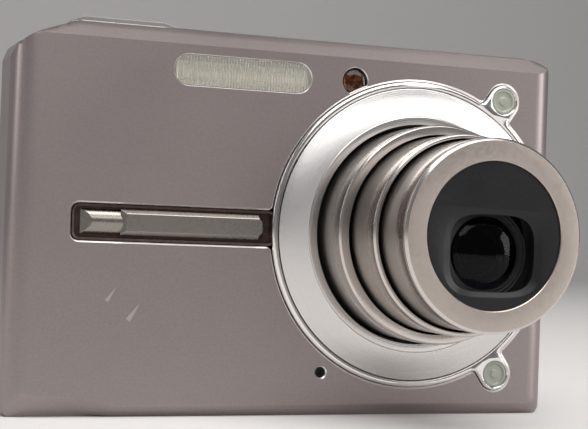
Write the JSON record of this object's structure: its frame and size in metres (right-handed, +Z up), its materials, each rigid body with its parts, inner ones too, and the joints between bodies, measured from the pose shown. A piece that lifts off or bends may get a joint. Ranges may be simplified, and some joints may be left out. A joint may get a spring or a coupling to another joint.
{
  "type": "compact digital camera",
  "caption": "Slim compact digital camera with a telescoping zoom lens, grip slot and bar, flash window, top buttons, rear display and keys, and a battery door.",
  "frame": {"origin": "middle of the base, on the face the camera stands on", "axes": "+X along the width, to the right when the lens is seen from the front; +Y from the front panel to the back, so the lens looks along -Y; +Z up"},
  "size_m": [0.09, 0.0414, 0.0598],
  "materials": {
    "anodised_cover": "satin anodised",
    "bright_metal": "brushed",
    "dark_bar": "polished, slightly worn",
    "barrel_metal": "fine turned",
    "ring_metal": "satin champagne",
    "key_metal": "satin",
    "record_key": "satin",
    "clear_window": "clear",
    "optical_glass": "coated",
    "display_glass": "gloss black",
    "amber_window": "dark amber",
    "black_plastic": "satin black",
    "black_metal": "matt black",
    "black_rubber": "matt",
    "plated_metal": "satin",
    "dark_sleeve": "printed sleeve, no print",
    "sensor_face": "gloss",
    "circuit_board": "solder mask",
    "chip_black": "matt",
    "card_blue": "matt",
    "cell_wrap": "matt",
    "gold_contact": "plated",
    "gear_plastic": "natural",
    "gear_brass": "machined",
    "orange_plastic": "matt"
  },
  "bodies": {
    "camera_body": {"front_cover": "anodised_cover", "rear_cover": "anodised_cover", "chassis": "plated_metal", "top_plate": "bright_metal", "trim_plate": "bright_metal", "lens_ring": "bright_metal", "grip_bar": "dark_bar", "lug_windows": "clear_window", "flash_window": "clear_window", "flash_reflector": "plated_metal", "flash_tube": "clear_window", "flash_capacitor": "dark_sleeve", "lamp_window": "amber_window", "microphone": "plated_metal", "speaker": "black_plastic", "lens_housing": "black_plastic", "light_seal": "black_rubber", "image_sensor": "sensor_face", "sensor_board": "circuit_board", "focus_lens": "optical_glass", "zoom_motor": "plated_metal", "main_board": "circuit_board", "board_chips": "chip_black", "card_slot": "plated_metal", "memory_card": "card_blue", "battery_box": "black_plastic", "battery": "cell_wrap", "battery_contacts": "gold_contact", "tripod_socket": "plated_metal", "cradle_connector": "black_plastic", "display_panel": "display_glass", "display_window": "display_glass", "key_board": "circuit_board", "key_switches": "plated_metal", "strap_bar": "plated_metal", "case_screws": "plated_metal"},
    "battery_door": {"battery_door": "anodised_cover"},
    "battery_stopper": {"battery_stopper": "orange_plastic"},
    "barrel_1": {"barrel_1": "barrel_metal"},
    "barrel_2": {"barrel_2": "barrel_metal"},
    "barrel_3": {"barrel_3": "barrel_metal", "front_ring": "ring_metal", "lens_mask": "black_plastic", "front_lens": "optical_glass", "lens_cell": "black_plastic"},
    "barrier_upper": {"barrier_upper": "black_metal"},
    "barrier_lower": {"barrier_lower": "black_metal"},
    "cam_ring": {"cam_ring": "black_plastic"},
    "idler_gear": {"idler_gear": "gear_plastic"},
    "motor_pinion": {"motor_pinion": "gear_brass"},
    "shutter_button": {"shutter_button": "bright_metal"},
    "power_button": {"power_button": "bright_metal"},
    "zoom_rocker": {"zoom_rocker": "key_metal"},
    "direction_pivot": {"direction_pivot": "black_rubber"},
    "direction_ring": {"direction_ring": "key_metal"},
    "set_button": {"set_button": "key_metal"},
    "menu_button": {"menu_button": "key_metal"},
    "play_button": {"play_button": "key_metal"},
    "record_button": {"record_button": "record_key"}
  },
  "joints": [
    {"name": "barrel_1_slide", "type": "slide", "parent": "camera_body", "child": "barrel_1", "axis": [0, 1, 0], "range_m": [0, 0.0085]},
    {"name": "barrel_2_slide", "type": "slide", "parent": "barrel_1", "child": "barrel_2", "axis": [0, 1, 0], "range_m": [0, 0.0085]},
    {"name": "barrel_3_slide", "type": "slide", "parent": "barrel_2", "child": "barrel_3", "axis": [0, 1, 0], "range_m": [0, 0.0085]},
    {"name": "barrier_upper_slide", "type": "slide", "parent": "barrel_3", "child": "barrier_upper", "axis": [0, 0, -1], "range_m": [0, 0.0073]},
    {"name": "barrier_lower_slide", "type": "slide", "parent": "barrel_3", "child": "barrier_lower", "axis": [0, 0, 1], "range_m": [0, 0.0042]},
    {"name": "cam_ring_turn", "type": "hinge", "parent": "camera_body", "child": "cam_ring", "pos_m": [0.02, 0, 0.029], "axis": [0, 1, 0], "range_deg": [-70, 0]},
    {"name": "idler_turn", "type": "hinge", "parent": "camera_body", "child": "idler_gear", "pos_m": [0.00373, 0, 0.04265], "axis": [0, 1, 0], "range_deg": [0, 461]},
    {"name": "pinion_turn", "type": "hinge", "parent": "camera_body", "child": "motor_pinion", "pos_m": [0.00017, 0, 0.04564], "axis": [0, 1, 0], "range_deg": [-717, 0]},
    {"name": "shutter_press", "type": "slide", "parent": "camera_body", "child": "shutter_button", "axis": [0, 0, -1], "range_m": [0, 0.0006], "stiffness_N_per_m": 400},
    {"name": "power_press", "type": "slide", "parent": "camera_body", "child": "power_button", "axis": [0, 0, -1], "range_m": [0, 0.0004], "stiffness_N_per_m": 400},
    {"name": "zoom_rock", "type": "hinge", "parent": "camera_body", "child": "zoom_rocker", "pos_m": [-0.032, 0.0066, 0.0475], "axis": [0, 0, 1], "range_deg": [-3, 3], "stiffness_Nm_per_rad": 0.02},
    {"name": "pad_tilt_up_down", "type": "hinge", "parent": "camera_body", "child": "direction_pivot", "pos_m": [-0.027, 0.0064, 0.025], "axis": [1, 0, 0], "range_deg": [-2.5, 2.5], "stiffness_Nm_per_rad": 0.02},
    {"name": "pad_tilt_left_right", "type": "hinge", "parent": "direction_pivot", "child": "direction_ring", "pos_m": [-0.027, 0.0064, 0.025], "axis": [0, 0, 1], "range_deg": [-2.5, 2.5], "stiffness_Nm_per_rad": 0.02},
    {"name": "set_press", "type": "slide", "parent": "camera_body", "child": "set_button", "axis": [0, -1, 0], "range_m": [0, 0.0005], "stiffness_N_per_m": 400},
    {"name": "menu_press", "type": "slide", "parent": "camera_body", "child": "menu_button", "axis": [0, -1, 0], "range_m": [0, 0.0005], "stiffness_N_per_m": 400},
    {"name": "play_press", "type": "slide", "parent": "camera_body", "child": "play_button", "axis": [0, -1, 0], "range_m": [0, 0.0005], "stiffness_N_per_m": 400},
    {"name": "record_press", "type": "slide", "parent": "camera_body", "child": "record_button", "axis": [0, -1, 0], "range_m": [0, 0.0005], "stiffness_N_per_m": 400},
    {"name": "battery_door_hinge", "type": "hinge", "parent": "camera_body", "child": "battery_door", "pos_m": [-0.0253, 0.0045, 0.00062], "axis": [1, 0, 0], "range_deg": [0, 95]},
    {"name": "stopper_slide", "type": "slide", "parent": "camera_body", "child": "battery_stopper", "axis": [1, 0, 0], "range_m": [0, 0.0012], "stiffness_N_per_m": 50}
  ],
  "couplings": [
    {"joint": "barrel_2_slide", "follows": "barrel_1_slide", "ratio": 1},
    {"joint": "barrel_3_slide", "follows": "barrel_1_slide", "ratio": 1},
    {"joint": "barrier_upper_slide", "follows": "barrel_1_slide", "ratio": 0.85882},
    {"joint": "barrier_lower_slide", "follows": "barrel_1_slide", "ratio": 0.49412},
    {"joint": "cam_ring_turn", "follows": "barrel_1_slide", "rad_per_m": -143.73},
    {"joint": "idler_turn", "follows": "barrel_1_slide", "rad_per_m": 944.53},
    {"joint": "pinion_turn", "follows": "barrel_1_slide", "rad_per_m": -1469.3}
  ]
}
